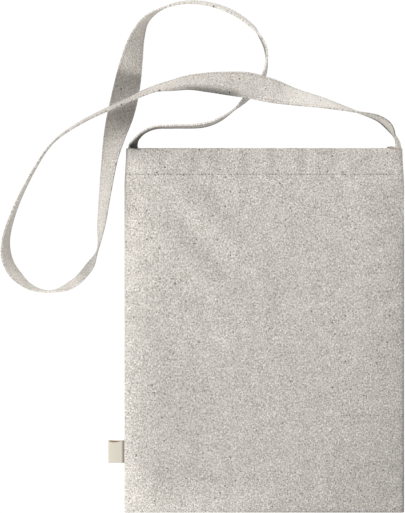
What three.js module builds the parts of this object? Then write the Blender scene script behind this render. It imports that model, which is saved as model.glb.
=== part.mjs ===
// A flat cotton shopping bag that lies on its back, with one long strap thrown in loops beside it.
// Millimetres. +X runs across the bag, +Y from its bottom seam to its mouth, and +Z up from the surface that
// it lies on. The origin is under the middle of the bag's body.
import * as THREE from 'three';
import { LoftGeometry } from 'three/addons/geometries/LoftGeometry.js';
import { mergeGeometries } from 'three/addons/utils/BufferGeometryUtils.js';

// Body
const BODY_WIDTH = 300;
const BODY_HEIGHT = 390;
const CLOTH = 1.0; // one layer of canvas
const GAP = 0.3; // clearance between neighbouring pieces
const HEM_DEPTH = 28;
const HEM = 2 * CLOTH; // the hem is the panel turned in on itself
const MOUTH_TUCK = 1.8; // how far each side draws in at the mouth
const TUCK_LENGTH = 45;
const SEAM_ROLL = 1.2; // radius of each panel's edge along the seams
const FILL = 8.5; // rise of the front panel above its seams, in the middle of the body
const MOUTH_FILL = 3.4; // the same at the mouth, where the strap ends already part the panels
const PILLOW_POWER = 4; // how level the front panel is across its middle
const BOTTOM_RISE = 90; // distance from the bottom seam over which the front panel rises
const RISE_POWER = 2.4; // how quickly it rises there
const CORNER_BLEND = 30; // distance over which the side seams close below the strap ends
const CORNER_MARGIN = 4; // this blend ends so far below the hem line
const ALONG_STEPS = 26; // facets of both panels from the bottom seam to the hem
const FRONT_STEPS = 18; // facets across the front panel
const BACK_STEPS = 6; // and across the level back panel
const ARC_STEPS = 3; // facets of a rolled edge
const HEM_STEPS = 4; // facets along the hem
const FOLD_ANGLES = [30, 55, 75]; // facets of the fold at the mouth, in degrees

// Strap
const STRAP_WIDTH = 29;
const STRAP = 1.6; // thickness of the folded cloth
const CREASE_OPEN = 0.2; // inside radius of the fold round each side seam
const CREASE_RADIUS = STRAP / 2 + CREASE_OPEN; // middle layer of that fold
const STRAP_STEP = 11; // longest facet along the strap
const STRAP_LEAST = 2; // fewest facets between two rows of its route
const MOUTH_ROLL = HEM + GAP / 2 + STRAP / 2 + CREASE_RADIUS; // edge radius beside the strap ends

// Label
const LABEL_WIDTH = 24;
const LABEL_SHOWS = 17; // length outside the seam
const LABEL_TAIL = 6; // length caught between the panels
const LABEL_PLY = 0.5;
const LABEL_PRESSED = 2 * LABEL_PLY + GAP; // both plies in the seam
const LABEL_LOOP = 2.2; // height of the folded end
const LABEL_FLAT = 2; // the plies stay together this far outside the seam
const LABEL_PART = 6; // and stand half open at this distance
const LABEL_STEPS = 6; // facets of the folded end
const LABEL_Y = -129.5; // middle of the label along the left seam
const LABEL_BLEND = 14; // distance over which the seam closes beside the label
const LABEL_SPREAD = 18; // how far into the panel the label lifts it

// Soft waves of the front panel: middle, half width across, half length along, height
const WAVE_COLUMNS = ['x', 'y', 'across', 'along', 'height'];
const WAVES = [
  [-104, 168, 14, 60, 0.7],
  [-52, 176, 16, 55, -0.6],
  [4, 172, 18, 70, 0.6],
  [62, 178, 15, 50, -0.6],
  [108, 166, 17, 60, 0.5],
  [-118, -120, 26, 16, -0.7],
  [-112, -52, 30, 22, 0.6],
  [70, -60, 40, 60, -0.6],
  [-20, 40, 60, 46, 0.5],
];

// The strap's route from the left top corner to the right one: plan position of its middle line, lean of its
// first edge from upright to the left of the way it runs (degrees, half a turn in all), height of its lowest
// edge, and how far its two halves fold together to its first right side (degrees, 90 is flat shut)
const ROUTE_COLUMNS = ['x', 'y', 'lean', 'lift', 'fold'];
const ROUTE = [
  [-144.6, 171, 0, HEM + GAP, 90],
  [-144.6, 187, 0, HEM + GAP, 90],
  [-144.6, 196, 0, HEM + GAP, 90],
  [-143.8, 201, 24, 0.6, 27],
  [-138.2, 206.5, 12, 0, 8],
  [-129, 212, 6, 0, 0],
  [-99, 217, 5, 0, 0],
  [-65, 219, 6, 0, 0],
  [-49, 225, -6, 0, 0],
  [-33, 235.5, 0, 0, 0],
  [-18.5, 249, 8, 0, 0],
  [-4.5, 264, 8, 0, 0],
  [2, 283, 6, 0, 0],
  [1.5, 300, 4, 0, 0],
  [-13, 325, 8, 0, 0],
  [-38, 342, 10, 0, 0],
  [-74, 351, 8, 0, 0],
  [-104, 346.5, 0, 0, 0],
  [-126, 333, -12, 0, 0],
  [-136, 313.5, -29, 0, 0],
  [-142, 289, -51, 0, 0],
  [-148.5, 256, -82, 0, 0],
  [-153.5, 234, -100, 0, 0],
  [-159.5, 212, -124, 0, 0],
  [-165.5, 184, -144, 0, 0],
  [-170, 148, -155, 0, 0],
  [-173.5, 112, -167, 0, 0],
  [-177, 88, -180, 0, 0],
  [-188, 67, -167, 0, 0],
  [-206, 49, -166, 0, 0],
  [-230, 41.5, -179, 0, 0],
  [-251, 46.5, -172, 0, 0],
  [-269.5, 63.5, -161, 0, 0],
  [-276, 90, -162, 0, 0],
  [-270, 120, -172, 0, 0],
  [-252.5, 160, -176.5, 0, 0],
  [-227, 200, -180, 0, 0],
  [-195.5, 222.5, -185, 3, 0],
  [-154, 242, -188, 8, 0],
  [-118.5, 257, -195, 8, 0],
  [-80, 263.5, -213, 11, 0],
  [-38, 263.5, -244, 24, 0],
  [-17, 261, -254, 30, 0],
  [4, 256, -246, 30, 0],
  [31, 249.5, -219, 13, 0],
  [61, 243.2, -199, 4, 0],
  [98, 233.7, -180, 0, 0],
  [118, 227.5, -170, 0, 0],
  [133.5, 217, -167, 0, 0],
  [140.3, 209, -178, 0, 0],
  [144.4, 202.5, -176, 1, -26],
  [144.6, 197, -180, HEM + GAP, -90],
  [144.6, 187, -180, HEM + GAP, -90],
  [144.6, 171, -180, HEM + GAP, -90],
];

const rad = THREE.MathUtils.degToRad;
const smooth = THREE.MathUtils.smoothstep;
const lerp = THREE.MathUtils.lerp;
const MOUTH_Y = BODY_HEIGHT / 2;
const BOTTOM_Y = -BODY_HEIGHT / 2;
const HEM_Y = MOUTH_Y - HEM_DEPTH;
const FRONT = 1;
const BACK = -1;

const named = (columns, rows) =>
  rows.map((row) => Object.fromEntries(columns.map((name, i) => [name, row[i]])));
const steps = (count) => Array.from({ length: count + 1 }, (_, i) => i / count);
const waves = named(WAVE_COLUMNS, WAVES);
const route = named(ROUTE_COLUMNS, ROUTE);

// A closed solid from sections that each hold an outer and an inner line with the same number of points.
function clothSolid(sections) {
  const first = sections[0];
  const last = sections.at(-1);
  return mergeGeometries([
    new LoftGeometry(sections.map(({ outer, inner }) => [...outer, ...inner.slice().reverse()])),
    new LoftGeometry([first.inner, first.outer], { closed: false }),
    new LoftGeometry([last.outer, last.inner], { closed: false }),
  ]);
}

// Half the body's width at height y: straight sides that draw in a little towards the mouth.
const halfWidth = (y) => BODY_WIDTH / 2 - MOUTH_TUCK * smooth(y, MOUTH_Y - TUCK_LENGTH, MOUTH_Y);

// Blend from the closed seams, 0, to the height of the strap ends, 1.
const nearMouth = (y) => smooth(y, HEM_Y - CORNER_MARGIN - CORNER_BLEND, HEM_Y - CORNER_MARGIN);

// Radius of the panels' rolled edge: small along the seams, larger where the strap ends lie between them.
const edgeRoll = (y) => lerp(SEAM_ROLL, MOUTH_ROLL, nearMouth(y));

// How much wider the left seam stands open to let the label in, at height y.
function labelLift(y) {
  const beside = Math.abs(y - LABEL_Y) - LABEL_WIDTH / 2;
  return (LABEL_PRESSED + GAP) * (1 - smooth(beside, CLOTH, LABEL_BLEND));
}

// Rise of the front panel over its seams: a pillow that is steep beside the seams and level in the middle.
function fillAt(x, y) {
  const across = 1 - (Math.abs(x) / halfWidth(y)) ** PILLOW_POWER;
  const upwards = 1 - (1 - Math.min((y - BOTTOM_Y) / BOTTOM_RISE, 1)) ** RISE_POWER;
  const ripple = waves.reduce(
    (sum, w) => sum + w.height * Math.exp(-(((x - w.x) / w.across) ** 2) - ((y - w.y) / w.along) ** 2),
    0,
  );
  return across * upwards * (lerp(FILL, MOUTH_FILL, nearMouth(y)) + ripple);
}

// One line of a panel across the bag at height y, set in from its outside by the inset: a quarter round at
// each side seam, and between them the pillow of the front panel or the level back panel.
function panelLine(side, y, inset, across) {
  const roll = edgeRoll(y);
  const radius = roll - inset;
  const seam = side === FRONT ? roll + GAP : roll;
  const lift = side === FRONT ? labelLift(y) : 0;
  const endX = halfWidth(y) - roll;
  const heightAt = (x) => {
    const lifted = lift * Math.exp(-(x + halfWidth(y)) / LABEL_SPREAD);
    return side === FRONT ? seam + lifted + radius + fillAt(x, y) : inset;
  };
  const rounded = (way, rim) =>
    steps(ARC_STEPS).map((t) => {
      const angle = (t * Math.PI) / 2;
      return [way * (endX + radius * Math.cos(angle)), lerp(rim, heightAt(way * endX), Math.sin(angle))];
    });
  const level = steps(across)
    .slice(1, -1)
    .map((t) => lerp(-endX, endX, t))
    .map((x) => [x, heightAt(x)]);
  const line = [...rounded(-1, seam + lift), ...level, ...rounded(1, seam).reverse()];
  return line.map(([x, z]) => new THREE.Vector3(x, y, z));
}

// One cloth panel: a single layer up to the hem, two layers in the hem, and a rounded fold at the mouth.
function panelGeometry(side, across) {
  const foldRadius = HEM / 2;
  const even = steps(ALONG_STEPS).map((t) => lerp(BOTTOM_Y, HEM_Y, t));
  const besideLabel = [-1, 1].flatMap((way) =>
    [CLOTH, LABEL_BLEND].map((far) => LABEL_Y + way * (LABEL_WIDTH / 2 + far)),
  );
  const body = [...even, ...besideLabel].sort((a, b) => a - b).map((y) => ({ y, thickness: CLOTH, trim: 0 }));
  const hem = steps(HEM_STEPS).map((t) => ({
    y: lerp(HEM_Y + CLOTH, MOUTH_Y - foldRadius, t),
    thickness: HEM,
    trim: 0,
  }));
  const fold = FOLD_ANGLES.map((angle) => ({
    y: MOUTH_Y - foldRadius * (1 - Math.sin(rad(angle))),
    thickness: HEM,
    trim: foldRadius * (1 - Math.cos(rad(angle))),
  }));
  const sections = [...body, ...hem, ...fold].map(({ y, thickness, trim }) => {
    const outside = panelLine(side, y, trim, across);
    const inside = panelLine(side, y, thickness - trim, across);
    return side === FRONT ? { outer: outside, inner: inside } : { outer: inside, inner: outside };
  });
  return clothSolid(sections);
}

// Value of one route column at row position s, by a cubic through the rows that never overshoots them.
function routeValue(column, s) {
  const i = Math.min(Math.floor(s), route.length - 2);
  const at = (k) => route[THREE.MathUtils.clamp(k, 0, route.length - 1)][column];
  const slope = (k) => {
    const before = at(k) - at(k - 1);
    const after = at(k + 1) - at(k);
    return before * after > 0 ? (2 * before * after) / (before + after) : 0;
  };
  const t = s - i;
  const rise = at(i + 1) - at(i);
  const bend = slope(i) + slope(i + 1) - 2 * rise;
  return at(i) + t * (slope(i) + t * (rise - slope(i) - bend + t * bend));
}

// Section of the strap as offsets to the right of its run and upwards. Two halves leave the middle line, turn
// round the crease radius by the fold angle, and run straight to the edges.
function strapSection(lean, fold) {
  const half = STRAP_WIDTH / 2;
  const side = fold < 0 ? -1 : 1;
  const turn = rad(Math.abs(fold));
  const bent = CREASE_RADIUS * turn;
  const quarter = (CREASE_RADIUS * Math.PI) / 2;
  const reach = [0, quarter / 2, quarter, half];
  const wing = (way, face) =>
    reach.map((q) => {
      const angle = Math.min(q / CREASE_RADIUS, turn);
      const straight = Math.max(q - bent, 0);
      const inwards = CREASE_RADIUS * (1 - Math.cos(angle)) + straight * Math.sin(angle);
      const upwards = way * (CREASE_RADIUS * Math.sin(angle) + straight * Math.cos(angle));
      const off = (face * STRAP) / 2;
      return {
        right: side * inwards + off * Math.cos(angle),
        up: upwards - side * way * off * Math.sin(angle),
      };
    });
  const c = Math.cos(rad(lean));
  const s = Math.sin(rad(lean));
  const leaning = ({ right, up }) => ({ right: right * c - up * s, up: right * s + up * c });
  const layer = (face) => [...wing(1, face).reverse(), ...wing(-1, face).slice(1)].map(leaning);
  return { outer: layer(1), inner: layer(-1) };
}

// The strap: its section carried along a smooth plan curve through the route's rows, each section standing
// upright across the curve with its lowest edge at the route's lift.
function strapGeometry() {
  const plan = new THREE.CatmullRomCurve3(route.map((row) => new THREE.Vector3(row.x, row.y, 0)));
  const last = route.length - 1;
  const places = [0];
  for (let i = 0; i < last; i += 1) {
    const length = plan.points[i].distanceTo(plan.points[i + 1]);
    const count = Math.max(STRAP_LEAST, Math.ceil(length / STRAP_STEP));
    for (let k = 1; k <= count; k += 1) places.push(i + k / count);
  }
  const sections = places.map((s) => {
    const middle = plan.getPoint(s / last);
    const ahead = plan.getTangent(s / last);
    const { outer, inner } = strapSection(routeValue('lean', s), routeValue('fold', s));
    const lowest = Math.min(...[...outer, ...inner].map((p) => p.up));
    const base = routeValue('lift', s) - lowest;
    const place = ({ right, up }) =>
      new THREE.Vector3(middle.x + ahead.y * right, middle.y - ahead.x * right, base + up);
    return { outer: outer.map(place), inner: inner.map(place) };
  });
  return clothSolid(sections);
}

// The label is one tape folded in a hairpin: its plies lie together in the seam and part towards the fold.
function labelGeometry() {
  const seamX = -BODY_WIDTH / 2;
  const tailX = seamX + LABEL_TAIL;
  const foldRadius = LABEL_LOOP / 2;
  const foldX = seamX - LABEL_SHOWS + foldRadius;
  const middleZ = SEAM_ROLL + GAP + LABEL_PRESSED / 2;
  const ply = (inset) => {
    const pressed = LABEL_PRESSED / 2 - inset;
    const open = foldRadius - inset;
    const upper = [
      [tailX, pressed],
      [seamX - LABEL_FLAT, pressed],
      [seamX - LABEL_PART, (pressed + open) / 2],
    ];
    const round = steps(LABEL_STEPS)
      .map((t) => t * Math.PI)
      .map((angle) => [foldX - open * Math.sin(angle), open * Math.cos(angle)]);
    const lower = upper.map(([x, z]) => [x, -z]).reverse();
    return [...upper, ...round, ...lower];
  };
  const lineAt = (inset, end) =>
    ply(inset).map(([x, z]) => new THREE.Vector3(x, LABEL_Y + (end * LABEL_WIDTH) / 2, middleZ + z));
  return clothSolid([1, -1].map((end) => ({ outer: lineAt(0, end), inner: lineAt(LABEL_PLY, end) })));
}

const CANVAS = 0xc3beb7;
const TAPE = 0xdcd6c6;
const MATT = 0.95; // roughness of all the cloth

function piece(name, geometry, color) {
  const material = new THREE.MeshStandardMaterial({ color, roughness: MATT, metalness: 0 });
  const mesh = new THREE.Mesh(geometry, material);
  mesh.name = name;
  return mesh;
}

const bag = new THREE.Group();
bag.add(piece('front_panel', panelGeometry(FRONT, FRONT_STEPS), CANVAS));
bag.add(piece('back_panel', panelGeometry(BACK, BACK_STEPS), CANVAS));
bag.add(piece('strap', strapGeometry(), CANVAS));
bag.add(piece('label', labelGeometry(), TAPE));

export default bag;
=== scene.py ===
import bpy
import numpy as np
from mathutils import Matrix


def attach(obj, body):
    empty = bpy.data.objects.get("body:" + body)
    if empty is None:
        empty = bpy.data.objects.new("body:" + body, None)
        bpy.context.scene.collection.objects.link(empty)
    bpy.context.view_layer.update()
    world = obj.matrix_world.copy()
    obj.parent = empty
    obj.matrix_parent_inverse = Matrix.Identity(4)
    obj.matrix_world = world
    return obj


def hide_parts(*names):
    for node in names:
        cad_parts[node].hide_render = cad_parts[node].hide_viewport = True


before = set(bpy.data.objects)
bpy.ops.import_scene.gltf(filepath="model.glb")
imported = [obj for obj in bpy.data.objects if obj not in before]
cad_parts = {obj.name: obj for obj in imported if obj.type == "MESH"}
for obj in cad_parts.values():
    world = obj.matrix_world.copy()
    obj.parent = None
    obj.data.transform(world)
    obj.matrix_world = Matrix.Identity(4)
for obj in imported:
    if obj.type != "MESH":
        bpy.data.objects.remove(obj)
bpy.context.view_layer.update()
mm = 0.001
print("frame loaded:", ", ".join(sorted(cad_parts)))


# eased step: 0 below low, 1 above high, 3t^2 - 2t^3 between them
def ease(x, low, high):
    t = np.clip((x - low) / (high - low), 0, 1)
    return t * t * (3 - 2 * t)


# straight blend from a at t = 0 to b at t = 1
def blend(a, b, t):
    return a + (b - a) * t


# bell of height 1 at 0 that has fallen to 1/e at the width
def bell(x, width):
    return np.exp(-((x / width) ** 2))


# sum of plane waves height * cos(2 pi (x cos a + y sin a) / length + phase), drawn from a seeded generator
def crumple(x, y, count, shortest, longest, height, seed):
    draw = np.random.default_rng(seed)
    heading = draw.uniform(0, np.pi, count)
    length = np.exp(draw.uniform(np.log(shortest), np.log(longest), count))
    phase = draw.uniform(0, 2 * np.pi, count)
    total = np.zeros(np.broadcast(x, y).shape)
    for a, span, start in zip(heading, length, phase):
        total += span / longest * np.cos(2 * np.pi * (x * np.cos(a) + y * np.sin(a)) / span + start)
    return height * total / np.sqrt(count)


# object from points in millimetres and faces, with a cloth UV map given per point
def newPiece(name, points, faces, uv):
    mesh = bpy.data.meshes.new(name)
    mesh.from_pydata((points.reshape(-1, 3) * mm).tolist(), [], faces)
    picked = np.empty(len(mesh.loops), dtype=np.int32)
    mesh.loops.foreach_get("vertex_index", picked)
    layer = mesh.uv_layers.new(name="cloth")
    layer.data.foreach_set("uv", (uv.reshape(-1, 2)[picked] * mm).ravel())
    mesh.shade_smooth()
    mesh.validate()
    piece = bpy.data.objects.new(name, mesh)
    bpy.context.scene.collection.objects.link(piece)
    return piece


# painted light and shade at each point, which the finishes multiply their colour by
def setPaintedShading(piece, tone):
    values = piece.data.attributes.new("tone", "FLOAT", "POINT").data
    values.foreach_set("value", tone.ravel())


# piece from a grid of points: neighbours in rows and columns make quads, a wrapped grid closes on its first
# column, and capped ends close a tube; uv is per point
def gridMesh(name, points, uv, wrapped=False, flipped=False, capped=False):
    rows, columns = points.shape[:2]
    index = np.arange(rows * columns).reshape(rows, columns)
    across = np.concatenate([index, index[:, :1]], 1) if wrapped else index
    corners = [across[:-1, :-1], across[:-1, 1:], across[1:, 1:], across[1:, :-1]]
    quads = np.stack(corners[::-1] if flipped else corners, -1).reshape(-1, 4)
    faces = quads.tolist()
    if capped:
        ends = [index[0], index[-1][::-1]]
        faces += [(end if flipped else end[::-1]).tolist() for end in ends]
    return newPiece(name, points, faces, uv)


# cloth thickness on an open grid, grown inwards from its outer face
def thicken(piece, thickness):
    solid = piece.modifiers.new("thickness", "SOLIDIFY")
    solid.thickness = thickness * mm
    solid.offset = -1
    solid.use_even_offset = False
    solid.use_rim = True
    return piece


# stitches: each one a short tube along its own line of points; its radius falls as sqrt(1 - 0.82 t^4) from
# the middle to both ends
def stitchMesh(name, lines, normals, radius, sides):
    count, along = lines.shape[:2]
    ahead = np.gradient(lines, axis=1)
    ahead /= np.linalg.norm(ahead, axis=2, keepdims=True)
    beside = np.cross(normals, ahead)
    beside /= np.linalg.norm(beside, axis=2, keepdims=True)
    above = np.cross(ahead, beside)
    turn = np.arange(sides) * 2 * np.pi / sides
    t = np.linspace(-1, 1, along)
    taper = radius * np.sqrt(1 - 0.82 * t ** 4)
    ring = np.cos(turn)[:, None] * above[:, :, None] + np.sin(turn)[:, None] * beside[:, :, None]
    points = lines[:, :, None] + taper[None, :, None, None] * ring
    each = along * sides
    index = np.arange(each).reshape(along, sides)
    around = np.concatenate([index, index[:, :1]], 1)
    corners = [around[:-1, :-1], around[1:, :-1], around[1:, 1:], around[:-1, 1:]]
    quads = np.stack(corners, -1).reshape(-1, 4)
    caps = np.stack([index[0], index[-1][::-1]])
    starts = np.arange(count)[:, None, None] * each
    tubes = (quads[None] + starts).reshape(-1, 4).tolist()
    ends = (caps[None] + starts).reshape(-1, sides).tolist()
    lengths = np.linalg.norm(np.diff(lines, axis=1), axis=2).cumsum(1)
    v = np.concatenate([np.zeros((count, 1)), lengths], 1)[:, :, None] + np.zeros(sides)
    u = np.broadcast_to(turn * radius, v.shape)
    return newPiece(name, points, tubes + ends, np.stack([u, v], -1))


# a node's socket by its identifier, or else by its name
def socketCalled(sockets, key):
    byIdentifier = [s for s in sockets if s.identifier == key]
    byName = [s for s in sockets if s.name == key]
    return (byIdentifier + byName)[0]


# shader value: operators on it add Math nodes, and add() makes any other node in its tree
class Wire:
    def __init__(self, tree, socket):
        self.tree = tree
        self.socket = socket

    # one node: its type, its settings first, then the values or links of its sockets, by name or identifier
    def add(self, kind, settings, sockets, output):
        node = self.tree.nodes.new(kind)
        for key, value in settings.items():
            setattr(node, key, value)
        for key, value in sockets.items():
            wanted = socketCalled(node.inputs, key)
            if isinstance(value, Wire):
                self.tree.links.new(value.socket, wanted)
            else:
                wanted.default_value = value
        return Wire(self.tree, socketCalled(node.outputs, output))

    # another output of the node that made this wire
    def beside(self, output):
        return Wire(self.tree, socketCalled(self.socket.node.outputs, output))

    def math(self, operation, first, second=0.0):
        sockets = {"Value": first, "Value_001": second}
        return self.add("ShaderNodeMath", {"operation": operation}, sockets, "Value")

    def vector(self, operation, sockets):
        settings = {"operation": operation}
        return self.add("ShaderNodeVectorMath", settings, {"Vector": self, **sockets}, "Vector")

    # the two coordinates of a UV wire
    def split(self):
        u = self.add("ShaderNodeSeparateXYZ", {}, {"Vector": self}, "X")
        return u, u.beside("Y")

    # vector wire of two values
    def joined(self, other):
        return self.add("ShaderNodeCombineXYZ", {}, {"X": self, "Y": other}, "Vector")

    def __add__(self, other):
        return self.math("ADD", self, other)

    def __radd__(self, other):
        return self.math("ADD", other, self)

    def __sub__(self, other):
        return self.math("SUBTRACT", self, other)

    def __rsub__(self, other):
        return self.math("SUBTRACT", other, self)

    def __mul__(self, other):
        return self.math("MULTIPLY", self, other)

    def __rmul__(self, other):
        return self.math("MULTIPLY", other, self)

    def __truediv__(self, other):
        return self.math("DIVIDE", self, other)

    def __abs__(self):
        return self.math("ABSOLUTE", self)

    def floor(self):
        return self.math("FLOOR", self)

    def fraction(self):
        return self.math("FRACT", self)

    def sine(self):
        return self.math("SINE", self)

    # 0 below low, 1 above high, eased between
    def eased(self, low, high):
        settings = {"interpolation_type": "SMOOTHSTEP"}
        sockets = {"Value": self, "From Min": low, "From Max": high}
        return self.add("ShaderNodeMapRange", settings, sockets, "Result")

    # noise of about that many millimetres to a cell, -1 to 1, on a vector wire
    def noise(self, cell, detail):
        sockets = {"Vector": self, "Scale": 1 / (cell * mm), "Detail": detail, "Roughness": 0.5}
        return self.add("ShaderNodeTexNoise", {"noise_dimensions": "2D"}, sockets, "Fac") * 2 - 1

    # colour mix of two colours by a factor
    def mix(self, first, second, factor):
        sockets = {"Factor_Float": factor, "A_Color": first, "B_Color": second}
        return self.add("ShaderNodeMix", {"data_type": "RGBA"}, sockets, "Result_Color")

    # the painted light and shade that the piece's points carry
    def tone(self):
        return self.add("ShaderNodeAttribute", {"attribute_name": "tone"}, {}, "Fac")


gloss = {"specular": 0.2, "sheenRoughness": 0.6}


# new material with one Principled shader; returns it with its shader and a wire on its cloth UV map
def newFinish(name, sheen):
    finish = bpy.data.materials.new(name)
    finish.use_nodes = True
    tree = finish.node_tree
    shader = next(n for n in tree.nodes if n.type == "BSDF_PRINCIPLED")
    shader.inputs["Specular IOR Level"].default_value = gloss["specular"]
    shader.inputs["Sheen Weight"].default_value = sheen
    shader.inputs["Sheen Roughness"].default_value = gloss["sheenRoughness"]
    uv = Wire(tree, None).add("ShaderNodeUVMap", {"uv_map": "cloth"}, {}, "UV")
    return finish, shader, uv


# link from a wire to one of the shader's own sockets
def plug(shader, key, wire):
    wire.tree.links.new(wire.socket, shader.inputs[key])


# Canvas
canvas = {
    "light": (0.965, 0.93, 0.87, 1), "dark": (0.175, 0.145, 0.118, 1),
    "pink": (0.60, 0.53, 0.50, 1), "green": (0.53, 0.535, 0.46, 1),
    # the hole colour is painted shade, for the inside of needle holes
    "fleck": (0.05, 0.042, 0.036, 1), "hole": (0.10, 0.09, 0.08, 1),
    "yarn": 0.62, "slub": 2.4, "warpSeed": 7.31, "weftSeed": 5.77, "unitCell": 1000.0,
    "grain": 1.6, "grainStretch": (1.12, 0.8, 1), "cloud": 17.0, "tint": 4.2, "tintRange": (0.05, 0.7),
    "fleckCell": 2.8, "fleckSize": (0.2, 0.36), "fleckChance": (0.988, 0.996),
    "yarnShare": 0.3, "grainShare": 0.44, "fibreShare": 0.38, "cloudShare": 0.09,
    "tintShare": 0.5, "fleckShare": 0.95, "holeShare": 0.9, "rough": 0.9, "roughGrain": 0.04,
    "holeScatter": 160.0, "holeRim": (0.2, 1.0), "holeFaint": (0.25, 0.6),
    "weave": 0.16, "weaveStrength": 0.55, "grainHeight": 0.3, "holeDepth": 2.5, "sheen": 0.15,
    "panelContrast": 0.91, "strapContrast": 0.7,
}


# melange canvas: soft grain with one random tone for each crossing of yarns, rare dark flecks, faint pink and
# green clouds, a plain weave that goes over and under at the yarn pitch, and needle holes painted dark as
# their shade under a mask; the colour is then multiplied by the points' painted light and shade
def canvasFinish(name, holes, contrast):
    finish, shader, uv = newFinish(name, canvas["sheen"])
    u, v = uv.split()
    grain = uv.vector("MULTIPLY", {"Vector_001": canvas["grainStretch"]}).noise(canvas["grain"], 1.5)
    warpNumber = (u / (canvas["yarn"] * mm)).floor()
    weftNumber = (v / (canvas["yarn"] * mm)).floor()
    warpOver = ((warpNumber + weftNumber) * 0.5).fraction() * 2
    warpPlace = (warpNumber * canvas["warpSeed"]).joined(v / (canvas["slub"] * mm))
    weftPlace = (u / (canvas["slub"] * mm)).joined(weftNumber * canvas["weftSeed"])
    warpTone = warpPlace.noise(canvas["unitCell"], 0.0)
    weftTone = weftPlace.noise(canvas["unitCell"], 0.0)
    yarnTone = warpTone * warpOver + weftTone * (1 - warpOver)
    crossing = {"Vector": warpNumber.joined(weftNumber)}
    fibre = uv.add("ShaderNodeTexWhiteNoise", {"noise_dimensions": "2D"}, crossing, "Value") * 2 - 1
    fibres = yarnTone * canvas["yarnShare"] + grain * canvas["grainShare"] + fibre * canvas["fibreShare"]
    shade = fibres * contrast + uv.noise(canvas["cloud"], 2.0) * canvas["cloudShare"] + 0.5
    cells = {"Vector": uv, "Scale": 1 / (canvas["fleckCell"] * mm)}
    spot = uv.add("ShaderNodeTexVoronoi", {"voronoi_dimensions": "2D"}, cells, "Distance")
    chance = uv.add("ShaderNodeSeparateColor", {}, {"Color": spot.beside("Color")}, "Red")
    fleck = (1 - spot.eased(*canvas["fleckSize"])) * chance.eased(*canvas["fleckChance"])
    tint = uv.noise(canvas["tint"], 1.0)
    colour = uv.mix(canvas["dark"], canvas["light"], shade)
    colour = uv.mix(colour, canvas["pink"], tint.eased(*canvas["tintRange"]) * canvas["tintShare"])
    colour = uv.mix(colour, canvas["green"], (tint * -1).eased(*canvas["tintRange"]) * canvas["tintShare"])
    colour = uv.mix(colour, canvas["fleck"], fleck * canvas["fleckShare"])
    colour = uv.mix(colour, canvas["hole"], holes(u, v) * canvas["holeShare"])
    # painted light and shade: the colour times the points' painted shading, held below the light yarn colour
    colour = colour.vector("SCALE", {"Scale": uv.tone()})
    colour = colour.vector("MINIMUM", {"Vector_001": canvas["light"][:3]})
    plug(shader, "Base Color", colour)
    plug(shader, "Roughness", grain * canvas["roughGrain"] + canvas["rough"])
    turns = np.pi / (canvas["yarn"] * mm)
    warp = abs((u * turns).sine())
    weft = abs((v * turns).sine())
    weave = warp * warpOver + weft * (1 - warpOver)
    height = weave + grain * canvas["grainHeight"] - holes(u, v) * canvas["holeDepth"]
    relief = {"Strength": canvas["weaveStrength"], "Distance": canvas["weave"] * mm, "Height": height}
    plug(shader, "Normal", uv.add("ShaderNodeBump", {}, relief, "Normal"))
    return finish


# round spots at every pitch along one wire, where another wire is within the size; some are fainter; the
# canvas paints them in its hole colour as the shade inside needle holes
def needleHoles(along, off, pitch, size):
    place = abs((along / (pitch * mm)).fraction() - 0.5) * pitch * mm
    reach = (place * place + off * off) / (size * mm) ** 2
    sockets = {"W": along, "Scale": canvas["holeScatter"], "Detail": 0.0}
    uneven = along.add("ShaderNodeTexNoise", {"noise_dimensions": "1D"}, sockets, "Fac")
    return (1 - reach.eased(*canvas["holeRim"])) * uneven.eased(*canvas["holeFaint"])


# Body; a crumple is count, shortest and longest wave, height and seed, a place is its middle and its reaches
body = {
    "width": 300.0, "height": 390.0, "droop": 1.05, "cloth": 0.9, "gap": 0.3, "hemDepth": 28.0, "hem": 2.0,
    "mouthTuck": 1.8, "tuckLength": 45.0, "seamRoll": 1.2, "mouthRoll": 3.95,
    "fill": 8.5, "mouthFill": 3.4, "pillowPower": 7, "bottomRise": 170.0, "bottomLip": 22.0, "lipShare": 0.3,
    "cornerBlend": 30.0, "cornerMargin": 4.0, "cornerRound": 1.4,
    "stitchRow": 166.8, "stitchPitch": 3.4, "stitchGroove": 0.25, "grooveWidth": 1.1, "stitchZone": 5.0,
    "hemStep": 0.22, "hole": 0.95, "backLift": 0.12, "stitches": 85,
    "fineCrumple": (26, 14.0, 46.0, 0.22, 5), "broadCrumple": (14, 60.0, 150.0, 0.55, 11), "calmReach": 25.0,
    "labelY": -130.5, "labelWidth": 24.0, "labelLift": 1.6, "labelBlend": 14.0, "labelSpread": 18.0,
    "puckerHeight": 1.7, "puckerReach": 18.0, "puckerShading": 0.1, "hemRipple": 0.8,
    "foldHeight": 1.6, "foldShading": 0.08, "foldLength": 49.0, "foldAt": 32.0,
    "foldPlace": (-66, 100, 55, 62), "foldShadingPlace": (-66, 105, 45, 52),
    # painted light and shade of the front panel: a rise towards the mouth, light along the left seam and a
    # dark line of shade along the right one
    "paintedRise": 0.055, "paintedLeftLight": 0.13, "leftNear": 6, "leftFar": 24, "farShare": 0.6,
    "paintedRightShade": 0.8, "rightReach": 1.2, "rightEnds": (100, 128),
}
mouthY = body["height"] / 2
bottomY = -mouthY - body["droop"]
hemY = mouthY - body["hemDepth"]

# soft waves of the front panel: middle, half width across, half length along, height
waveRows = np.array([
    [-104, 168, 14, 60, 0.7],
    [-52, 176, 16, 55, -0.6],
    [4, 172, 18, 70, 0.6],
    [62, 178, 15, 50, -0.6],
    [108, 166, 17, 60, 0.5],
    [-118, -120, 26, 16, -0.7],
    [-112, -52, 30, 22, 0.6],
    [70, -60, 40, 60, -0.6],
    [-20, 40, 60, 46, 0.5],
    [96, 112, 6, 50, 0.45],
    [-42, -10, 15, 11, 0.7],
])
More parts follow.
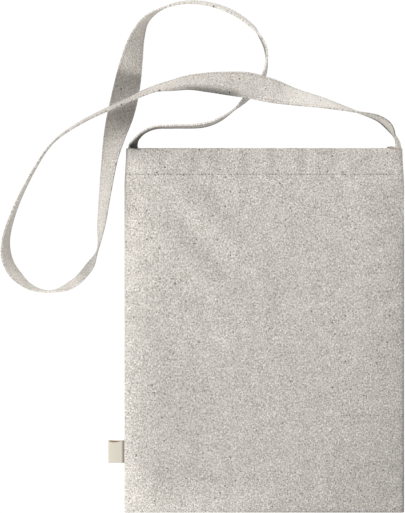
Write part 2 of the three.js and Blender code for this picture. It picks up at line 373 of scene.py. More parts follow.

# patches of painted light and shade: middle, reach across, reach along, amount, which paints shade below 0
paintedShadingPatches = np.array([
    [-136, -180, 16, 30, 0.2],
    [-118, -160, 20, 22, -0.09],
    [-85, -155, 35, 16, -0.05],
    [-90, -190, 50, 11, 0.13],
    [-35, -180, 32, 15, 0.09],
    [-141, 184, 13, 20, 0.3],
    [-148.4, 180, 2.4, 24, 0.9],
    [-143, 115, 9, 70, 0.09],
    [-139.5, 194, 8, 5, 0.55],
    [-78, 183, 48, 13, -0.075],
    [38, 155, 50, 12, 0.04],
    [138, 184, 22, 20, 0.08],
    [140, 194, 8, 5, 0.4],
    [140, -160, 60, 60, -0.09],
    [95, -196, 80, 2, -0.26],
    [-140, 90, 20, 60, 0.09],
    [-116, -45, 20, 75, -0.08],
    [-45, -9, 13, 8, 0.08],
    [100, 95, 8, 95, 0.08],
    [-82, -85, 28, 50, -0.075],
    [-141, -152, 9, 13, 0.12],
    [-110, -176, 14, 8, 0.07],
    [80, 167, 90, 3.5, 0.05],
])


# half the width: straight sides that draw in towards the mouth, with small round bottom corners
def halfWidth(y):
    straight = body["width"] / 2 - body["mouthTuck"] * ease(y, mouthY - body["tuckLength"], mouthY)
    r = body["cornerRound"]
    corner = r - np.sqrt(np.clip(r * r - np.clip(r - (y - bottomY), 0, r) ** 2, 0, None))
    return straight - corner


# 0 along the closed seams, 1 beside the strap ends
def nearMouth(y):
    return ease(y, hemY - body["cornerMargin"] - body["cornerBlend"], hemY - body["cornerMargin"])


# radius of the round at the sides: blended from the closed seam's to the wider one at the mouth
def edgeRoll(y):
    return blend(body["seamRoll"], body["mouthRoll"], nearMouth(y))


# how far the left seam parts for the label
def labelLift(y):
    beside = abs(y - body["labelY"]) - body["labelWidth"] / 2
    return body["labelLift"] * (1 - ease(beside, 1.0, body["labelBlend"]))


# ripples that run in from the seams and die away: waves of 23 to 31 mm along the seam, of uneven pitch and
# strength, times an exponential fall with the distance from it
def puckers(x, y):
    side = halfWidth(y) - abs(x)
    left = np.sin(y / 3.7 + 1.3 * np.sin(y / 19)) * (0.5 + 0.5 * np.sin(y / 41 + 0.6))
    right = np.sin(y / 4.3 + 1.1 * np.sin(y / 23) + 2) * (0.5 + 0.5 * np.sin(y / 37))
    along = np.where(x < 0, left * 1.15, right * 0.7)
    bottom = np.sin(x / 4.9 + 1.2 * np.sin(x / 27)) * (0.5 + 0.5 * np.sin(x / 33 + 1))
    reach = body["puckerReach"]
    fade = ease(side, 0.5, 6) * np.exp(-side / reach) * (1 - 0.7 * nearMouth(y))
    low = ease(y - bottomY, 0.5, 6) * np.exp(-(y - bottomY) / (0.6 * reach))
    return body["puckerHeight"] * (along * fade + 0.8 * bottom * low)


# upright ripples of the hem: two sines of about 17 and 31 mm that stop at the stitch row and die away towards
# the sides
def hemRipples(x, y):
    waves = 0.5 * np.sin(x / 2.7 + 1.2 * np.sin(x / 31)) + np.sin(x / 4.9 + 0.9 * np.sin(x / 53) + 1)
    above = ease(y, body["stitchRow"] - 1, body["stitchRow"] + 7)
    return body["hemRipple"] * waves * above * (1 - ease(abs(x), 95, 128))


# bell in both directions round a place: middle, reach across, reach along
def patch(x, y, place):
    middleX, middleY, reachX, reachY = place
    return bell(x - middleX, reachX) * bell(y - middleY, reachY)


# how far across the slanting soft folds of the upper left part a place lies, as an angle
def foldPhase(x, y):
    return 2 * np.pi * ((x + y) / np.sqrt(2) - body["foldAt"]) / body["foldLength"]


# pillow of the front panel: (1 - |x / half|^7) across, a short steep rise at the bottom seam with a long slow
# one after it, and the soft waves
def fillAt(x, y):
    across = 1 - (abs(x) / halfWidth(y)) ** body["pillowPower"]
    lip = 1 - (1 - np.clip((y - bottomY) / body["bottomLip"], 0, 1)) ** 2
    upwards = blend(ease(y - bottomY, 0, body["bottomRise"]), lip, body["lipShare"])
    ripple = sum(row[4] * patch(x, y, row[:4]) for row in waveRows)
    return across * upwards * (blend(body["fill"], body["mouthFill"], nearMouth(y)) + ripple)


# groove that the stitches press into the hem: a bell across the stitch row
def stitchDip(y):
    return body["stitchGroove"] * bell(y - body["stitchRow"], body["grooveWidth"])


# outer face of the front panel: seam height, edge roll, pillow, label lift and the cloth's own relief
def frontTop(x, y):
    roll = edgeRoll(y)
    lifted = labelLift(y) * np.exp(-(x + halfWidth(y)) / body["labelSpread"])
    calm = ease(halfWidth(y) - abs(x), 0, body["calmReach"]) * ease(y - bottomY, 0, body["calmReach"])
    relief = crumple(x, y, *body["fineCrumple"]) + crumple(x, y, *body["broadCrumple"])
    hem = body["hemStep"] * ease(y, body["stitchRow"] - 0.5, body["stitchRow"] + 2.5)
    folds = np.sin(foldPhase(x, y)) * patch(x, y, body["foldPlace"])
    soft = calm * (relief + body["foldHeight"] * folds) + puckers(x, y) + hemRipples(x, y)
    return 2 * roll + body["gap"] + lifted + fillAt(x, y) + soft + hem - stitchDip(y)


# painted light and shade of the front panel's cloth: a straight rise towards the mouth, painted light falling
# from the left seam and a painted dark line of shade at the right one, each an exponential of the distance,
# the painted shading of the folds and puckers, and a bell of painted light for each patch, shade where its
# amount is below 0
def panelPaintedShading(x, y):
    fromLeft = x + body["width"] / 2
    fromRight = body["width"] / 2 - x
    left = np.exp(-fromLeft / body["leftNear"]) + body["farShare"] * np.exp(-fromLeft / body["leftFar"])
    right = np.exp(-fromRight / body["rightReach"]) * (1 - ease(y, *body["rightEnds"]))
    folds = np.cos(foldPhase(x, y)) * patch(x, y, body["foldShadingPlace"])
    tone = 1 + body["paintedRise"] * y / mouthY + body["paintedLeftLight"] * left - body["paintedRightShade"] * right
    tone = tone + body["foldShading"] * folds + body["puckerShading"] * puckers(x, y) / body["puckerHeight"]
    return tone + sum(row[4] * patch(x, y, row[:4]) for row in paintedShadingPatches)


# columns of a panel: a quarter round at each side seam and level steps between; c runs -1 to 1 across
def panelColumns(steps, arcSteps):
    turn = np.linspace(0, np.pi / 2, arcSteps + 1)[:-1]
    level = np.linspace(-1, 1, steps + 1)
    c = np.concatenate([np.full(arcSteps, -1.0), level, np.full(arcSteps, 1.0)])
    turns = np.concatenate([turn, np.full(steps + 1, np.pi / 2), turn[::-1]])
    return c, turns


# rows of a panel: round bottom seam, body, hem, fold at the mouth and the hem's inner layer, with how far
# each is set in from the outer face, the height share of the bottom round, and the length along the cloth
def panelRows(step, denseStep):
    r = body["seamRoll"]
    fold = body["hem"] / 2
    turn = np.linspace(0, np.pi / 2, 6)[:-1]
    row = body["stitchRow"]
    zone = body["stitchZone"]
    plain = np.arange(bottomY + r, row - zone, step)
    dense = np.arange(row - zone, row + zone, denseStep)
    upper = np.linspace(row + zone, mouthY - fold, int((mouthY - fold - row - zone) / step) + 1)
    arc = np.linspace(0, np.pi, 11)[1:-1]
    inner = np.linspace(mouthY - fold, row - 2, int(body["hemDepth"] / step) + 1)
    seam = bottomY + r * (1 - np.cos(turn))
    mouth = mouthY - fold * (1 - np.sin(arc))
    y = np.concatenate([seam, plain, dense, upper, mouth, inner])
    outer = len(turn) + len(plain) + len(dense) + len(upper)
    inset = np.concatenate([np.zeros(outer), fold * (1 - np.cos(arc)), np.full(len(inner), 2 * fold)])
    rise = np.concatenate([np.sin(turn), np.ones(len(y) - len(turn))])
    v = bottomY + np.concatenate([[0], np.hypot(np.diff(y), np.diff(inset)).cumsum()])
    return y[:, None], inset[:, None], rise[:, None], v[:, None]


# a panel's outer face: level columns at the panel's height, side columns on a quarter round of the edge roll
def panelPoints(front, steps, arcSteps, step, denseStep):
    c, turns = panelColumns(steps, arcSteps)
    y, inset, rise, v = panelRows(step, denseStep)
    roll = edgeRoll(y)
    endX = halfWidth(y) - roll
    level = c * endX
    x = level + np.sign(c) * (roll - inset) * np.cos(turns)
    if front:
        rim = roll + body["gap"] + np.where(c == -1, labelLift(y), 0)
        top = frontTop(level, y) - inset
    else:
        rim = roll + 0 * c
        top = inset + stitchDip(y) + body["backLift"] + 0 * c
    z = rim + (top - rim) * np.sin(turns) * rise
    points = np.stack([x, y + 0 * x, z], -1)
    u = level + np.sign(c) * roll * (np.pi / 2 - turns)
    return points, np.stack([u, v + 0 * u], -1)


# one panel as cloth of its own thickness, in place of its node
def panelPiece(name, node, front, steps, step):
    points, uv = panelPoints(front, steps, arcSteps=6, step=step, denseStep=0.7)
    piece = thicken(gridMesh(name, points, uv, flipped=not front), body["cloth"])
    # the front panel carries painted light and shade, the back panel an even 1
    setPaintedShading(piece, panelPaintedShading(points[..., 0], points[..., 1]) if front else np.ones(points.shape[:2]))
    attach(piece, "root")
    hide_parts(node)
    return piece


# painted shade of the needle holes along the hem's stitch row
def hemHoles(u, v):
    return needleHoles(u, v - body["stitchRow"] * mm, body["stitchPitch"], body["hole"])


panelFinish = canvasFinish("melange_canvas", hemHoles, canvas["panelContrast"])
frontPanel = panelPiece("front_cloth", "front_panel", front=True, steps=150, step=2.0)
backPanel = panelPiece("back_cloth", "back_panel", front=False, steps=60, step=4.0)
for piece in (frontPanel, backPanel):
    piece.data.materials.append(panelFinish)
print("panels:", len(frontPanel.data.vertices), "and", len(backPanel.data.vertices), "points")

# Strap
strap = {
    "width": 29.0, "thickness": 1.6, "crease": 1.0, "stitchIn": 2.4, "stitchPitch": 3.2,
    "groove": 0.16, "grooveWidth": 0.55, "curlPower": 2.5, "swell": 1.35, "pressed": 24.0, "rise": 14.0,
    "step": 2.6, "endLength": 44.0, "endStep": 0.5, "mouthLift": 2.3,
    "hole": 0.5, "holeShare": 0.6, "shadeFrom": 0.25, "firstStitch": 4.5, "bareStitches": 8,
    "acrossGroove": (-1.3, -0.7, -0.35, 0, 0.35, 0.7, 1.3), "faceIn": 2.4,
}
halfStrap = strap["width"] / 2
edgeRound = strap["thickness"] / 2
lift0 = strap["mouthLift"]

# route of the strap: plan position, lean, height of its lowest edge, fold of its first and its second half at
# the crease, how far each half curls from its middle to its edge, the painted light and shade of its right
# face, its left face and its round edges, and the painted shade towards its second edge or, below 0, its
# first
routeRows = np.array([
    [-144.6, 171, 0, lift0, 90, 90, 0, 0, 1, 1, 1, 0],
    [-144.8, 188, 0, lift0, 90, 90, 0, 0, 1, 1, 1, 0],
    [-145.4, 194.4, 0, 2, 88, 88, 0, 0, 0.4, 0.5, 0.5, 0],
    [-145, 196, 3, 1, 60, 6, 0, 0, 0.3, 0.55, 0.5, 0],
    [-142.6, 198.6, 5, 0.3, 43, 0, 0, 0, 0.27, 0.9, 0.85, 0],
    [-139.9, 201.6, 4.5, 0, 14, 0, 0, 0, 0.27, 1.1, 1, 0],
    [-136, 205.9, 3.2, 0, 2, 0, 0, 0, 0.27, 1.2, 1.1, -0.2],
    [-128.4, 212.2, 1.6, 0, 0, 0, 0, 0, 0.4, 1.3, 1.2, -0.5],
    [-117, 216.9, 2, 0, 0, 0, 0, 0, 0.5, 1.35, 1.4, -0.85],
    [-99, 217.8, 2.6, 0, 0, 0, 0, 0, 0.8, 1.4, 1.45, -0.85],
    [-65, 219.4, 4.5, 0, 0, 0, 0, 0, 0.9, 1.4, 1.5, -0.85],
    [-49, 225, 3.6, 0, 0, 0, 0, 0, 0.95, 1.35, 1.4, -0.8],
    [-33, 235.5, -1.5, 0, 0, 0, 0, 0, 0.95, 1.05, 1.05, -0.2],
    [-18.5, 249, 8, 0, 0, 0, 0, 0, 1.15, 1.15, 1.1, 0],
    [-4.5, 264, 8, 0, 0, 0, 0, 0, 1.25, 1.25, 1.2, 0],
    [2, 283, 3, 0, 0, 0, 0, 0, 1.4, 1.3, 1.4, 0],
    [1.5, 300, -1.6, 0, 0, 0, 0, 0, 1.3, 0.75, 1.4, 0],
    [-4.6, 314, 0, 0, 0, 0, 0, 0, 1.4, 1, 1.45, 0],
    [-13, 325, 8, 0, 0, 0, 0, 0, 1.5, 1.5, 1.5, 0],
    [-38, 342, 10, 0, 0, 0, 0, 0, 1.5, 1.5, 1.5, 0],
    [-74, 351, 8, 0, 0, 0, 0, 0, 1.45, 1.45, 1.45, 0],
    [-104, 346.5, 4.5, 0, 0, 0, 0, 0, 1.25, 1.25, 1.2, 0],
    [-126, 333, -9, 0, 0, 0, 0, 0, 1.35, 1.35, 1.1, 0],
    [-136, 313.5, -29, 0, 0, 0, 0, 0, 1.2, 1.2, 0.95, 0],
    [-142, 289, -51, 0, 0, 0, 0, 0, 1.15, 1.15, 0.9, 0],
    [-143.7, 280.5, -59, 0, 0, 0, 0, 0, 1.12, 1.12, 0.9, 0],
    [-145.5, 271, -67, 0, 0, 0, 0, 0, 0.6, 0.6, 0.5, 0],
    [-148.5, 256, -80, 0, 0, 0, 0, 0, 0.7, 0.7, 0.5, 0],
    [-153.5, 234, -98, 0, 0, 0, 0, 0, 0.7, 0.7, 0.55, 0],
    [-159.5, 212, -122, 0, 0, 0, 0, 0, 0.95, 0.95, 0.7, 0],
    [-165.5, 184, -143, 0, 0, 0, 0, 0, 1.08, 1.08, 0.8, 0],
    [-170.4, 148, -154, 0, 0, 0, 0, 0, 1.2, 1.2, 0.85, 0],
    [-174.6, 112, -164, 0, 0, 0, 0, 0, 1.3, 1.3, 0.9, 0],
    [-178.5, 86, -178.5, 0, 0, 0, 0, 0, 1.1, 1.1, 0.9, 0],
    [-188, 67, -163.5, 0, 0, 0, 0, 0, 0.9, 0.9, 0.85, 0],
    [-206, 49, -165.5, 0, 0, 0, 0, 0, 1.45, 1.45, 1.15, 0],
    [-230, 41.5, -180.2, 0, 0, 0, 0, 0, 1.4, 1.4, 1.35, 0],
    [-251, 46.5, -172, 0, 0, 0, 0, 0, 1.3, 1.3, 0.95, 0],
    [-267.5, 61, -161, 0, 0, 0, 0, 0, 1.3, 1.3, 0.9, 0],
    [-275.4, 76, -162, 0, 0, 0, 0, 0, 1.28, 1.28, 0.9, 0],
    [-276.9, 94, -168, 0, 0, 0, 0, 0, 1.3, 1.3, 0.88, 0],
    [-270.6, 120, -174.5, 0, 0, 0, 0, 0, 1.4, 1.4, 0.88, 0],
    [-252.9, 160, -179.8, 0, 0, 0, 0, 0, 1.45, 1.45, 0.88, 0],
    [-227, 200, -183.2, 0, 0, 0, 0, 0, 1.2, 1.2, 0.8, 0],
    [-195.5, 222.5, -186, 3, 0, 0, 0, 0, 1.3, 1.3, 0.95, 0],
    [-154, 242, -189, 8, 0, 0, 0, 0, 1.12, 1.12, 0.8, 0],
    [-118.5, 257.5, -194, 8, 0, 0, 0, 0, 1.33, 1.33, 1, 0],
    [-97, 262, -204, 10, 0, 0, -10, 0, 1.25, 1.25, 0.95, -0.3],
    [-80, 265, -212, 13, 0, 0, -20, 0, 1.18, 1.18, 0.85, -0.55],
    [-60, 265, -225, 18, 0, 0, -30, 0, 1.1, 1.1, 0.8, -0.7],
    [-38, 263.5, -240, 24, 0, 0, -35, 0, 1.08, 1.08, 0.8, -0.7],
    [-17, 261, -253, 30, 0, 0, -10, 0, 1.05, 1.05, 0.9, 0],
    [4, 256, -246, 30, 0, 0, 0, 0, 1.2, 1.2, 0.95, 0],
    [31, 249.5, -221, 13, 0, 0, 0, 0, 1.62, 1.62, 1.1, 0],
    [61, 243.5, -204, 4, 0, 0, 0, 0, 1.68, 1.68, 1.2, 0],
    [98, 233.9, -184, 0, 0, 0, 0, 0, 1.4, 1.4, 0.95, 0.4],
    [121.5, 226.9, -173, 0, 0, 0, 0, 0, 1.4, 1.4, 0.5, 0.95],
    [131.7, 219.7, -169.8, 0, 0, 0, 0, 0, 1.45, 1.45, 0.4, 1],
    [136.2, 213.6, -174, 0, 0, 0, 0, 0, 1.45, 1.45, 0.35, 1],
    [139.2, 208.9, -181, 0, -2, -3, 0, 0, 1.4, 1.4, 0.5, 0.7],
    [141.6, 205.5, -183, 0, -5, -7, 0, 0, 1.4, 1.4, 0.8, 0],
    [143.6, 202.2, -181.5, 0.3, -11, -11, 0, 0, 1.5, 1.5, 1, 0],
    [145, 198.4, -180.5, 1, -20, -16, 0, 0, 1.5, 1.5, 1, 0],
    [145.6, 195.8, -180, 1.8, -34, -26, 0, 0, 1.6, 1.6, 1.5, 0],
    [145.5, 194.9, -180, lift0, -80, -80, 0, 0, 1.7, 1.7, 1.7, 0],
    [145.3, 192.6, -180, lift0, -90, -90, 0, 0, 1, 1, 1, 0],
    [144.8, 187, -180, lift0, -90, -90, 0, 0, 1, 1, 1, 0],
    [144.6, 171, -180, lift0, -90, -90, 0, 0, 1, 1, 1, 0],
])
routePlan, routeValues = routeRows[:, :2], routeRows[:, 2:]
lastRow = len(routeRows) - 1


# plan curve through the rows: centripetal Catmull-Rom, knots at the square root of the rows' spacing; gives
# the points and the unit tangents at row positions s
def routeCurve(s):
    ends = np.vstack([2 * routePlan[:1] - routePlan[1:2], routePlan, 2 * routePlan[-1:] - routePlan[-2:-1]])
    i = np.minimum(s.astype(int), lastRow - 1)
    t = (s - i)[:, None]
    p0, p1, p2, p3 = (ends[i + k] for k in range(4))
    pairs = ((p0, p1), (p1, p2), (p2, p3))
    d0, d1, d2 = (np.sqrt(np.linalg.norm(b - a, axis=1))[:, None] for a, b in pairs)
    m1 = d1 * ((p1 - p0) / d0 - (p2 - p0) / (d0 + d1) + (p2 - p1) / d1)
    m2 = d1 * ((p2 - p1) / d1 - (p3 - p1) / (d1 + d2) + (p3 - p2) / d2)
    c2 = 3 * (p2 - p1) - 2 * m1 - m2
    c3 = 2 * (p1 - p2) + m1 + m2
    ahead = m1 + t * (2 * c2 + 3 * t * c3)
    return p1 + t * (m1 + t * (c2 + t * c3)), ahead / np.linalg.norm(ahead, axis=1, keepdims=True)


# the other columns at row positions s: a cubic with harmonic mean slopes, which never overshoots the rows
def routeAt(s):
    rise = np.diff(routeValues, axis=0)
    product = rise[:-1] * rise[1:]
    total = rise[:-1] + rise[1:]
    inner = np.where(product > 0, 2 * product / np.where(total == 0, 1, total), 0)
    slope = np.vstack([np.zeros((1, inner.shape[1])), inner, np.zeros((1, inner.shape[1]))])
    i = np.minimum(s.astype(int), lastRow - 1)
    t = (s - i)[:, None]
    bend = slope[i] + slope[i + 1] - 2 * rise[i]
    return routeValues[i] + t * (slope[i] + t * (rise[i] - slope[i] - bend + t * bend))


# thickness of the strap beside its sewn ends, which are pressed: eased from 1 to the swell over the rise
def swell(s):
    place = np.interp(s, fineRow, fineLength)[:, None]
    free = np.minimum(place, strapLength - place)
    return 1 + (strap["swell"] - 1) * ease(free, strap["pressed"], strap["pressed"] + strap["rise"])


# place of (q across from the middle, off from the middle layer) in the strap's section, to the right of its
# run and up: each half's angle grows round the crease to its own fold and then with its curl, the middle line
# is the sum of that angle's sine and cosine outwards from the middle, and the whole is turned by the lean
def strapSection(s, q, off):
    lean, lift, foldLow, foldHigh, curlLow, curlHigh = routeAt(s).T[:6, :, None]
    off = off * swell(s)
    share = np.linspace(-1, 1, 241)
    reach = halfStrap * np.sign(share) * abs(share) ** 1.7
    fold = np.radians(np.where(reach < 0, foldLow, foldHigh))
    curl = np.radians(np.where(reach < 0, curlLow, curlHigh))
    angle = np.sign(fold) * np.minimum(abs(reach) / strap["crease"], abs(fold))
    angle = angle + curl * (abs(reach) / halfStrap) ** strap["curlPower"]
    middle = len(reach) // 2
    sums = []
    for part in (np.sin(angle) * np.sign(reach), np.cos(angle)):
        area = (part[:, 1:] + part[:, :-1]) / 2 * np.diff(reach)
        total = np.concatenate([np.zeros((len(s), 1)), area.cumsum(1)], 1)
        sums.append(total - total[:, middle:middle + 1])
    k = np.clip(np.searchsorted(reach, q), 1, len(reach) - 1)
    t = (q - reach[k - 1]) / (reach[k] - reach[k - 1])
    inwards, upwards, local = (blend(a[:, k - 1], a[:, k], t) for a in (*sums, angle))
    right = inwards + off * np.cos(local)
    up = upwards - np.sign(q) * off * np.sin(local)
    ca, sa = np.cos(np.radians(lean)), np.sin(np.radians(lean))
    return right * ca - up * sa, right * sa + up * ca, lift


# points of the strap: its section at each row position, set down so that its lowest point is at the lift
def strapPoints(s, q, off):
    middle, ahead = routeCurve(s)
    lowest = strapSection(s, sectionQ, sectionOff)[1].min(1, keepdims=True)
    right, up, lift = strapSection(s, q, off)
    x = middle[:, :1] + ahead[:, 1:] * right
    y = middle[:, 1:] - ahead[:, :1] * right
    return np.stack([x, y, lift - lowest + up], -1)


# closed section of the strap: two faces with stitch grooves near their edges, joined by round edges
def strapProfile():
    inner = halfStrap - edgeRound
    row = halfStrap - strap["stitchIn"]
    near = np.array(strap["acrossGroove"])
    between = np.linspace(-row + strap["faceIn"], row - strap["faceIn"], 9)
    face = np.concatenate([[-inner], -row - near[::-1], between, row + near, [inner]])
    thick = edgeRound - strap["groove"] * bell(abs(face) - row, strap["grooveWidth"])
    turn = np.linspace(np.pi / 2, -np.pi / 2, 7)[1:-1]
    firstRound = -inner - edgeRound * np.cos(turn)
    secondRound = inner + edgeRound * np.cos(turn[::-1])
    q = np.concatenate([face[::-1], firstRound, face, secondRound])
    off = np.concatenate([thick[::-1], edgeRound * np.sin(turn), -thick, edgeRound * np.sin(turn[::-1])])
    return q, off


# painted light and shade of the strap: an eased blend from its left to its right face, another to its round
# edges, then times a painted shade that eases in towards one edge
def strapPaintedShading(s):
    paintedRight, paintedLeft, paintedEdge, shade = routeAt(s).T[6:, :, None]
    faces = blend(paintedLeft, paintedRight, ease(sectionOff, -0.5 * edgeRound, 0.5 * edgeRound))
    tone = blend(paintedEdge, faces, ease(abs(sectionOff), 0.3 * edgeRound, 0.85 * edgeRound))
    shaded = ease(np.sign(shade) * sectionQ, strap["shadeFrom"] * halfStrap, halfStrap)
    return tone * (1 - abs(shade) * shaded)


# painted shade of the needle holes along both edges of the strap
def strapHoles(u, v):
    fromRow = abs(u) - (halfStrap - strap["stitchIn"]) * mm
    return needleHoles(v, fromRow, strap["stitchPitch"], strap["hole"]) * strap["holeShare"]


sectionQ, sectionOff = strapProfile()
fineRow = np.linspace(0, lastRow, 60 * lastRow + 1)
finePlan = routeCurve(fineRow)[0]
fineLength = np.concatenate([[0], np.linalg.norm(np.diff(finePlan, axis=0), axis=1).cumsum()])
strapLength = fineLength[-1]
endPlaces = np.arange(0, strap["endLength"], strap["endStep"])
midEnd = strapLength - strap["endLength"]
midPlaces = np.linspace(strap["endLength"], midEnd, int(strapLength / strap["step"]))
strapPlaces = np.concatenate([endPlaces, midPlaces, strapLength - endPlaces[::-1]])
strapRows = np.interp(strapPlaces, fineLength, fineRow)
strapGrid = strapPoints(strapRows, sectionQ, sectionOff)
strapUv = np.stack(np.broadcast_arrays(sectionQ[None], strapPlaces[:, None]), -1)
strapPiece = gridMesh("strap_cloth", strapGrid, strapUv, wrapped=True, capped=True)
# painted light and shade along the strap, row by row
setPaintedShading(strapPiece, strapPaintedShading(strapRows))
strapPiece.data.materials.append(canvasFinish("strap_canvas", strapHoles, canvas["strapContrast"]))
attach(strapPiece, "root")
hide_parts("strap")
print("strap:", round(strapLength), "mm long,", len(strapPiece.data.vertices), "points")

# Label
label = {
    "width": 24.0, "shows": 17.5, "tail": 6.0, "ply": 0.45, "pressed": 1.3, "loop": 2.2, "flat": 2.0,
    "skew": 2.0, "skewFrom": 3, "skewPower": 0.7,
    # the reverse colour is a dark brown, partly the tape's own back and partly painted shade inside its fold
    "face": (0.66, 0.618, 0.523, 1), "thread": (0.54, 0.495, 0.40, 1), "reverse": (0.36, 0.23, 0.13, 1),
    "rib": 0.42, "crossRib": 0.3, "ribShare": 0.7, "cloud": 3.0, "cloudShare": 0.18, "sheen": 0.1,
    "ribDepth": 0.08, "ribStrength": 0.4, "rough": 0.75, "roughRib": 0.1,
    # painted shading of the tape: its level, a fall darker towards the seam and a painted shadow beside the
    # seam
    "tone": 1.03, "fall": 0.05, "fallFrom": -166, "fallTo": -152, "dip": 0.7, "dipWidth": 1.2, "dipOut": 1.3,
}


# folded tape: two plies that part from the seam to a half round fold, the upper ply drawn back most in the
# middle, where its top edge gapes; along runs from the upper tail round the fold to the lower tail
def labelPoints():
    seamX = -body["width"] / 2
    foldR = label["loop"] / 2
    tailX = seamX + label["tail"]
    foldX = seamX - label["shows"] + foldR
    middleZ = body["seamRoll"] + body["gap"] + label["pressed"] / 2
    run = np.linspace(0, 1, 25)
    x = blend(tailX, foldX, run)
    half = blend(label["pressed"] / 2, foldR, ease(-x, label["flat"] - seamX, -foldX))
    turn = np.linspace(0, np.pi, 13)[1:-1]
    lineX = np.concatenate([x, foldX - foldR * np.sin(turn), x[::-1]])
    lineZ = np.concatenate([half, foldR * np.cos(turn), -half[::-1]])
    startX = seamX - label["skewFrom"]
    free = np.clip((startX - lineX) / (startX - foldX + 0.8 * foldR), 0, 1)
    back = label["skew"] * (4 * free * (1 - free)) ** label["skewPower"] * (1 + lineZ / foldR) / 2
    across = np.linspace(-1, 1, 17)[:, None]
    y = body["labelY"] + across * label["width"] / 2 - back * (across + 1) / 2
    points = np.stack(np.broadcast_arrays(lineX[None], y, middleZ + lineZ[None]), -1)
    length = np.concatenate([[0], np.hypot(np.diff(lineX), np.diff(lineZ)).cumsum()])
    return points, np.stack(np.broadcast_arrays(across * label["width"] / 2, length[None]), -1), length[-1]


# woven tape: fine ribs across and finer ones along, each |sin|, a darker thread between them, and a cloud,
# all times the points' painted light and shade
def tapeFinish(name, face, between):
    finish, shader, uv = newFinish(name, label["sheen"])
    u, v = uv.split()
    across = abs((v * (np.pi / (label["rib"] * mm))).sine())
    along = abs((u * (np.pi / (label["crossRib"] * mm))).sine())
    rib = across * label["ribShare"] + along * (1 - label["ribShare"])
    cloud = uv.noise(label["cloud"], 2.0) * label["cloudShare"] + 0.5
    colour = uv.mix(between, face, rib * 0.5 + cloud)
    plug(shader, "Base Color", colour.vector("SCALE", {"Scale": uv.tone()}))
    plug(shader, "Roughness", rib * label["roughRib"] + label["rough"])
    relief = {"Strength": label["ribStrength"], "Distance": label["ribDepth"] * mm, "Height": rib}
    plug(shader, "Normal", uv.add("ShaderNodeBump", {}, relief, "Normal"))
    return finish


# painted shading of the tape: an eased fall that makes it darker towards the seam and a painted shadow bell
# beside the seam
def labelPaintedShading(x):
    fall = label["fall"] * ease(x, label["fallFrom"], label["fallTo"])
    dip = label["dip"] * bell(x + body["width"] / 2 + label["dipOut"], label["dipWidth"])
    return label["tone"] - fall - dip


labelGrid, labelUv, labelLength = labelPoints()
labelPiece = thicken(gridMesh("label_tape", labelGrid, labelUv, flipped=True), label["ply"])
labelPiece.modifiers["thickness"].material_offset = 1
setPaintedShading(labelPiece, labelPaintedShading(labelGrid[..., 0]))
labelPiece.data.materials.append(tapeFinish("cream_tape", label["face"], label["thread"]))
# the reverse material: a dark brown, partly the tape's own back and partly painted shade inside the fold
labelPiece.data.materials.append(tapeFinish("tape_reverse", label["reverse"], label["reverse"]))
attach(labelPiece, "root")
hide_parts("label")
print("label:", round(labelLength, 1), "mm of tape")

# Stitches
thread = {
    "radius": 0.24, "length": 0.72, "arch": 0.14, "sunk": 0.2, "points": 5, "sides": 6, "strapSides": 5,
    "backRadius": 0.8, "backArch": 0.4, "strapRadius": 0.85, "sheen": 0.2, "rough": 0.85, "roughPly": 0.1,
    "colour": (0.66, 0.63, 0.58, 1), "shade": (0.46, 0.43, 0.39, 1), "twist": 0.55,
    "strapColour": (0.48, 0.455, 0.415, 1), "strapShade": (0.32, 0.30, 0.27, 1),
}


# sewing thread: two plies laid at a slant, |sin| of the way across them, light on the ply and dark between
def threadFinish(name, colour, shade):
    finish, shader, uv = newFinish(name, thread["sheen"])
    u, v = uv.split()
    ply = abs(((u + v) * (np.pi / (thread["twist"] * mm))).sine())
    plug(shader, "Base Color", uv.mix(shade, colour, ply))
    plug(shader, "Roughness", thread["rough"] - ply * thread["roughPly"])
    return finish


# how far along its pitch and how high above the cloth each point of a stitch lies: an arch that dips at both
# ends as t^4
stitchShare = np.linspace(-1, 1, thread["points"])
stitchAlong = stitchShare * thread["length"] / 2
stitchHigh = thread["arch"] - (thread["arch"] + thread["sunk"]) * stitchShare ** 4


# stitches of both hems, on the front panel's outer face and under the back panel
def hemStitches():
    hole = np.arange(body["stitches"]) - body["stitches"] // 2
    x = (hole[:, None] + stitchAlong[None]) * body["stitchPitch"]
    y = np.full(x.shape, body["stitchRow"])
    above = frontTop(x, y) + stitchHigh
    under = body["stitchGroove"] + body["backLift"] - stitchHigh * thread["backArch"]
    below = np.broadcast_to(under, x.shape)
    upwards = np.broadcast_to(np.array([0.0, 0.0, 1.0]), (*x.shape, 3))
    frontLines = np.stack([x, y, above], -1)
    backLines = np.stack([x, y, below], -1)
    backRadius = thread["radius"] * thread["backRadius"]
    front = stitchMesh("hem_thread", frontLines, upwards, thread["radius"], thread["sides"])
    back = stitchMesh("back_hem_thread", backLines, -upwards, backRadius, thread["sides"])
    return front, back


# stitches of the strap: a row near each edge of both faces, set on the face along its own normal
def strapStitches():
    count = int(strapLength / strap["stitchPitch"]) - strap["bareStitches"]
    places = (np.arange(count)[:, None] + strap["firstStitch"] + stitchAlong[None]) * strap["stitchPitch"]
    rows = np.interp(places.ravel(), fineLength, fineRow)
    lines, normals = [], []
    for face in (-1, 1):
        for edge in (-1, 1):
            q = np.array([edge * (halfStrap - strap["stitchIn"])])
            surface = face * (edgeRound - strap["groove"])
            low = strapPoints(rows, q, np.array([surface]))[:, 0]
            high = strapPoints(rows, q, np.array([surface + face]))[:, 0]
            outwards = (high - low).reshape(count, -1, 3)
            lines.append(low.reshape(count, -1, 3) + outwards * stitchHigh[None, :, None])
            normals.append(outwards)
    radius = thread["radius"] * thread["strapRadius"]
    allLines, allNormals = np.concatenate(lines), np.concatenate(normals)
    return stitchMesh("strap_thread", allLines, allNormals, radius, thread["strapSides"])


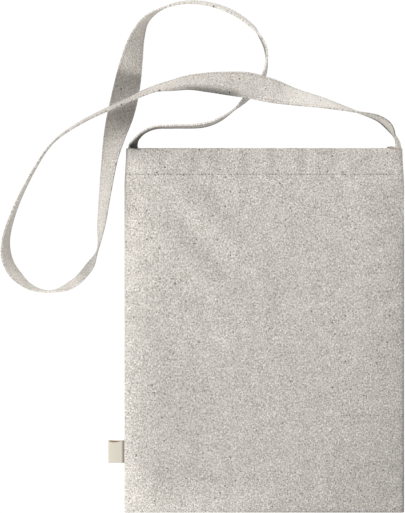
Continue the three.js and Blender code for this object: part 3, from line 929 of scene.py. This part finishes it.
hemFinish = threadFinish("hem_cotton", thread["colour"], thread["shade"])
strapFinish = threadFinish("strap_cotton", thread["strapColour"], thread["strapShade"])
hemThread, backThread = hemStitches()
strapThread = strapStitches()
for piece, finish in ((hemThread, hemFinish), (backThread, hemFinish), (strapThread, strapFinish)):
    piece.data.materials.append(finish)
    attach(piece, "root")
stitchCount = [len(piece.data.vertices) for piece in (hemThread, backThread, strapThread)]
print("stitches:", ", ".join(str(n) for n in stitchCount), "points")

# Stage in metres; the view's centre, the height of its plane and how tall it is there are in millimetres
stage = {
    "floor": (0.72, 0.72, 0.72, 1), "floorZ": -0.0002, "backdrop": 1.02, "backdropZ": -0.0012, "sky": 0.65,
    "key": 13.8, "keyAt": (-0.65, 1.4, 1.12), "keySize": 1.1,
    "side": 2.7, "sideAt": (-0.58, -0.5, 0.42), "sideSize": 0.4,
    "viewCentre": (-66.3, 78.9), "viewHeight": 3.6, "planeHeight": 9.0, "tall": 549.6,
}


# wide pale plane at a height in metres, with a plain colour and a glow
def plainFloor(name, height, colour, glow):
    bpy.ops.mesh.primitive_plane_add(size=40, location=(0, 0, height))
    plane = bpy.context.object
    plane.name = name
    finish = bpy.data.materials.new(name)
    finish.use_nodes = True
    shader = next(n for n in finish.node_tree.nodes if n.type == "BSDF_PRINCIPLED")
    shader.inputs["Base Color"].default_value = colour
    shader.inputs["Roughness"].default_value = 1.0
    shader.inputs["Specular IOR Level"].default_value = 0.0
    shader.inputs["Emission Color"].default_value = (1, 1, 1, 1)
    shader.inputs["Emission Strength"].default_value = glow
    plane.data.materials.append(finish)
    return plane


# the floor throws light back at the bag, and the lit backdrop under it is what the camera sees
floor = plainFloor("floor", stage["floorZ"], stage["floor"], 0.0)
floor.visible_camera = False
backdrop = plainFloor("backdrop", stage["backdropZ"], (0, 0, 0, 1), stage["backdrop"])
backdrop.visible_diffuse = False

world = bpy.data.worlds.new("studio")
bpy.context.scene.world = world
world.use_nodes = True
background = world.node_tree.nodes["Background"]
background.inputs["Color"].default_value = (1, 1, 1, 1)
background.inputs["Strength"].default_value = stage["sky"]


# round softbox that points at the bag
def softbox(name, energy, size, place):
    data = bpy.data.lights.new(name, "AREA")
    data.shape = "DISK"
    data.size = size
    data.energy = energy
    lamp = bpy.data.objects.new(name, data)
    lamp.location = place
    lamp.rotation_euler = lamp.location.to_track_quat("Z", "Y").to_euler()
    lamp.visible_camera = False
    bpy.context.scene.collection.objects.link(lamp)


softbox("key", stage["key"], stage["keySize"], stage["keyAt"])
softbox("side", stage["side"], stage["sideSize"], stage["sideAt"])

cameraData = bpy.data.cameras.new("camera")
cameraData.lens = cameraData.sensor_width * stage["viewHeight"] / (stage["tall"] * mm)
camera = bpy.data.objects.new("camera", cameraData)
viewX, viewY = stage["viewCentre"]
camera.location = (viewX * mm, viewY * mm, stage["viewHeight"] + stage["planeHeight"] * mm)
bpy.context.scene.collection.objects.link(camera)
bpy.context.scene.camera = camera
bpy.context.scene.view_settings.view_transform = "Standard"
print("stage set")
